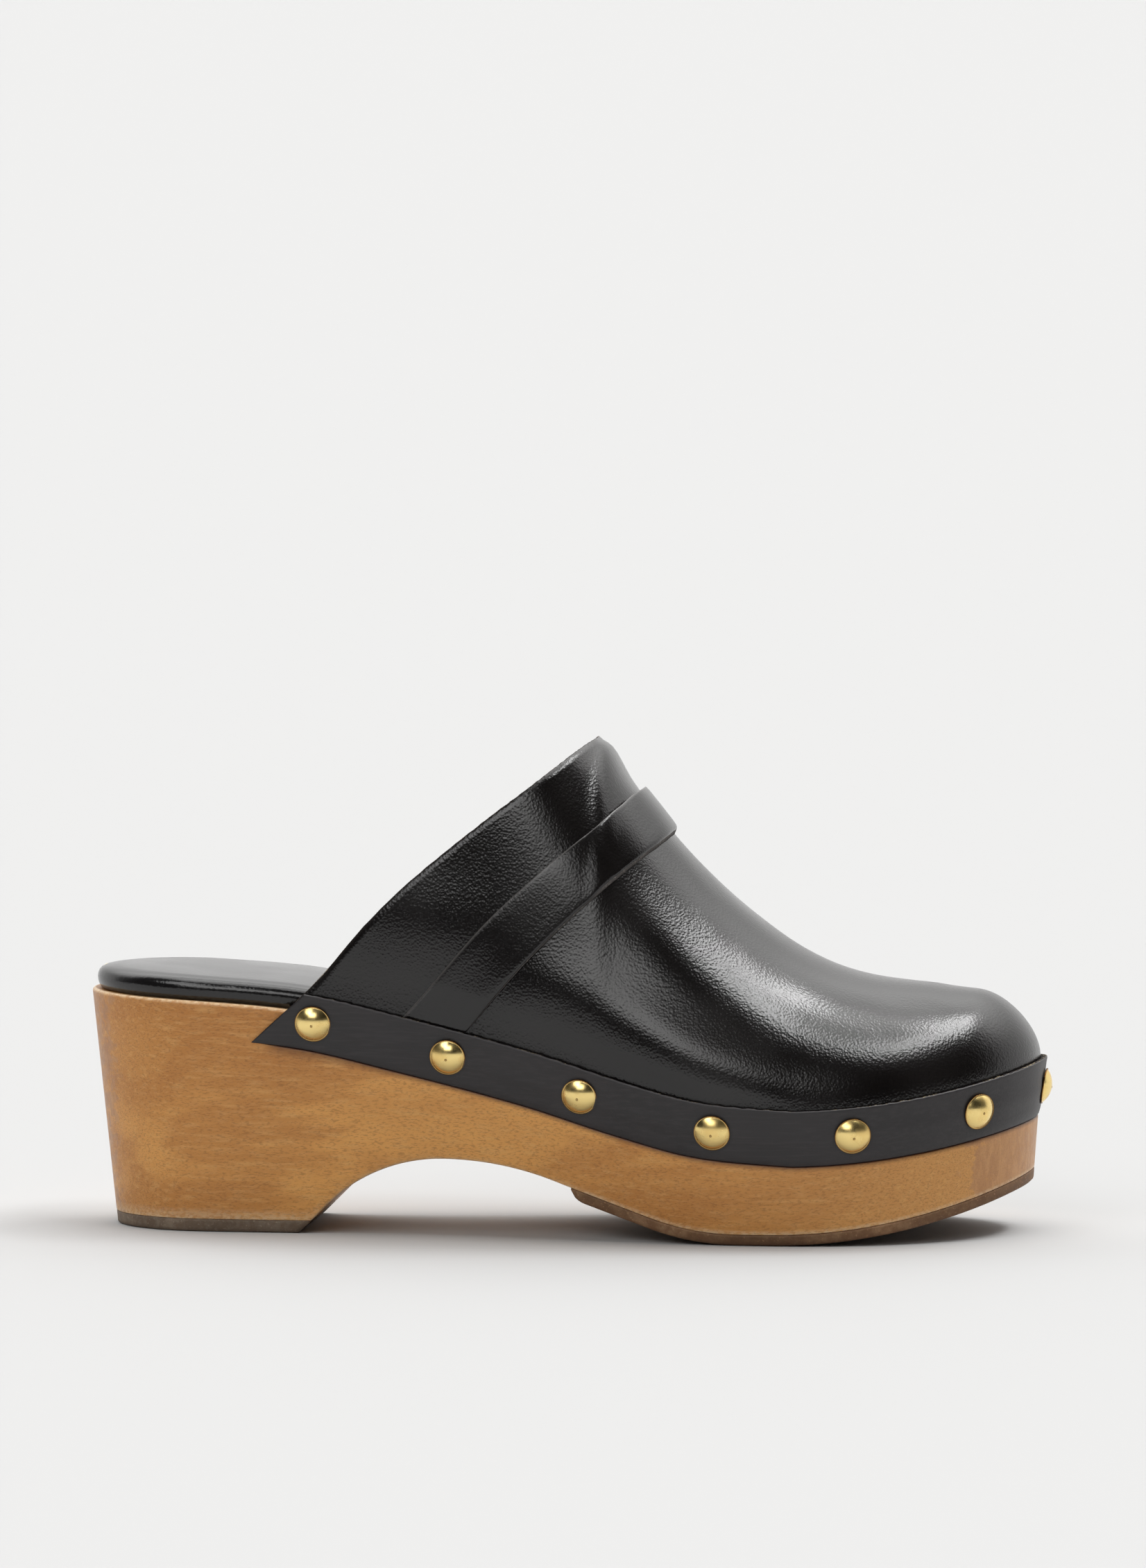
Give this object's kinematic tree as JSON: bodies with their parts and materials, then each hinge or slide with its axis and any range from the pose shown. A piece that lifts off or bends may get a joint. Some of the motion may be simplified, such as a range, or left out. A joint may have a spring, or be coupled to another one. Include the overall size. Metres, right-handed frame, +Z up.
{
  "type": "wooden clog",
  "caption": "Heeled slip-on clog: carved wooden sole, closed leather upper with an instep band, held on by a studded leather rand.",
  "frame": {"origin": "on the ground, under the middle of the shoe's outer box", "axes": "+X from heel to toe, +Y towards the big-toe side, +Z up"},
  "size_m": [0.2544, 0.0981, 0.1296],
  "materials": {
    "wood": "oiled alder, satin",
    "heel_rubber": "matt",
    "sole_rubber": "matt",
    "nail_steel": "plain",
    "board": "pressed fibre",
    "foam": "open cell",
    "footbed_leather": "semi-gloss",
    "vamp_leather": "semi-gloss calf",
    "puff": "resin-stiffened felt",
    "tape": "woven tape",
    "lining_leather": "undyed pigskin",
    "band_leather": "semi-gloss calf",
    "rand_leather": "satin, raw edges",
    "stud_brass": "polished"
  },
  "bodies": {
    "root": {"wood_sole": "wood", "heel_top_piece": "heel_rubber", "forefoot_outsole": "sole_rubber", "heel_nails": "nail_steel", "outsole_tacks": "nail_steel", "insole_board": "board", "footbed_foam": "foam", "footbed_cover": "footbed_leather", "vamp": "vamp_leather", "toe_puff": "puff", "topline_tape": "tape", "upper_lining": "lining_leather", "instep_band": "band_leather", "lasting_tacks": "nail_steel", "rand_strip": "rand_leather", "rand_studs": "stud_brass"}
  },
  "joints": []
}
